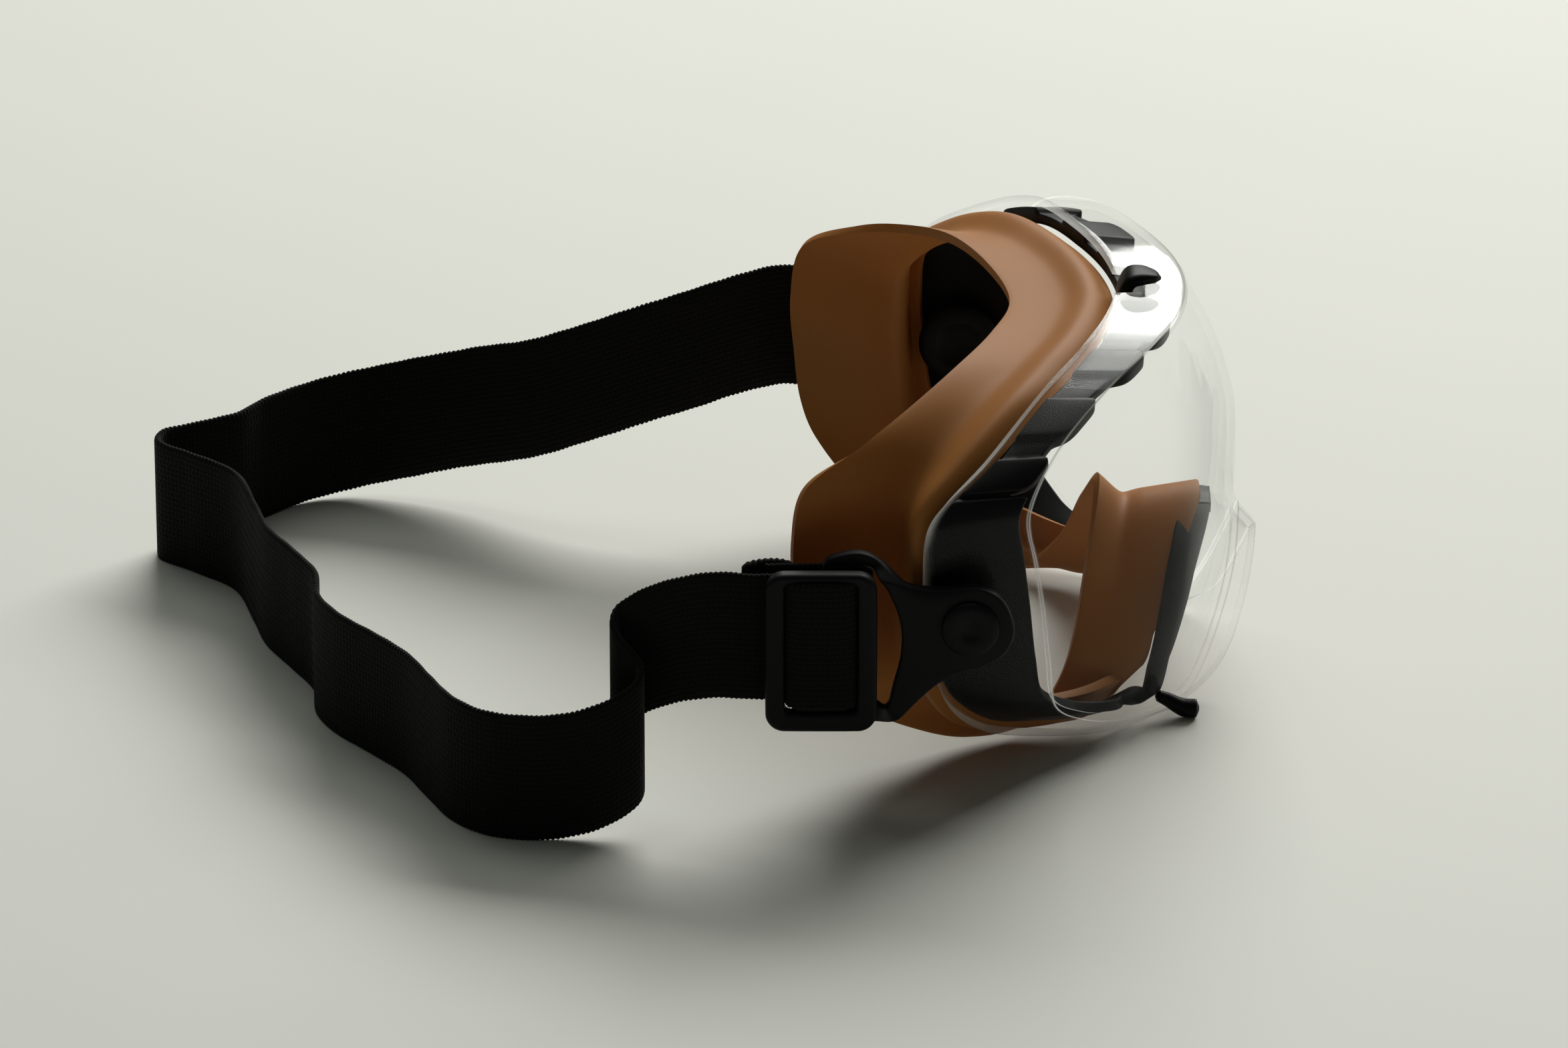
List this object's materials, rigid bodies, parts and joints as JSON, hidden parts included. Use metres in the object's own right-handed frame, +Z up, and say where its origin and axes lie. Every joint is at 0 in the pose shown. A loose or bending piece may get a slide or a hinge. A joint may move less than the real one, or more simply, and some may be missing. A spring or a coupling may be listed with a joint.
{
  "type": "safety goggles",
  "caption": "Wraparound safety goggles with a clear bulged lens over a vented black frame, a soft face seal, swivelling strap clips, a slide buckle and an elastic head strap.",
  "frame": {"origin": "middle of the flat pad under the frame's nose bridge, on the symmetry plane of the lens", "axes": "-Y is the way the lens looks, +Y runs back to the wearer's head and along the strap, +Z is up when the goggles stand on their lower edge, +X is the wearer's left"},
  "size_m": [0.1893, 0.254, 0.0954],
  "materials": {
    "lens_clear": "clear polycarbonate, polished",
    "frame_black": "satin moulded plastic",
    "clip_black": "fine matte moulded plastic",
    "seal_orange": "soft matte elastomer",
    "strap_black": "woven elastic webbing"
  },
  "bodies": {
    "root": {"lens": "lens_clear", "frame": "frame_black", "face_seal": "seal_orange", "left_pivot_pin": "clip_black", "right_pivot_pin": "clip_black", "left_pivot_cap": "frame_black", "right_pivot_cap": "frame_black"},
    "headband": {"right_strap_clip": "clip_black", "head_strap": "strap_black", "right_strap_return": "strap_black", "left_strap_hem": "strap_black"},
    "left_clip": {"left_strap_clip": "clip_black"},
    "buckle": {"right_slide_buckle": "clip_black", "right_strap_tab": "strap_black"}
  },
  "joints": [
    {"name": "right_clip_pivot", "type": "hinge", "parent": "root", "child": "headband", "pos_m": [-0.0869, 0.053, 0.0094], "axis": [1, 0, 0], "range_deg": [-20, 22]},
    {"name": "left_clip_pivot", "type": "hinge", "parent": "root", "child": "left_clip", "pos_m": [0.0869, 0.053, 0.0094], "axis": [1, 0, 0], "range_deg": [-20, 22]},
    {"name": "buckle_slide", "type": "slide", "parent": "headband", "child": "buckle", "axis": [0, 1, 0], "range_m": [0, 0.018]}
  ],
  "couplings": [
    {"joint": "left_clip_pivot", "follows": "right_clip_pivot", "ratio": 1}
  ]
}
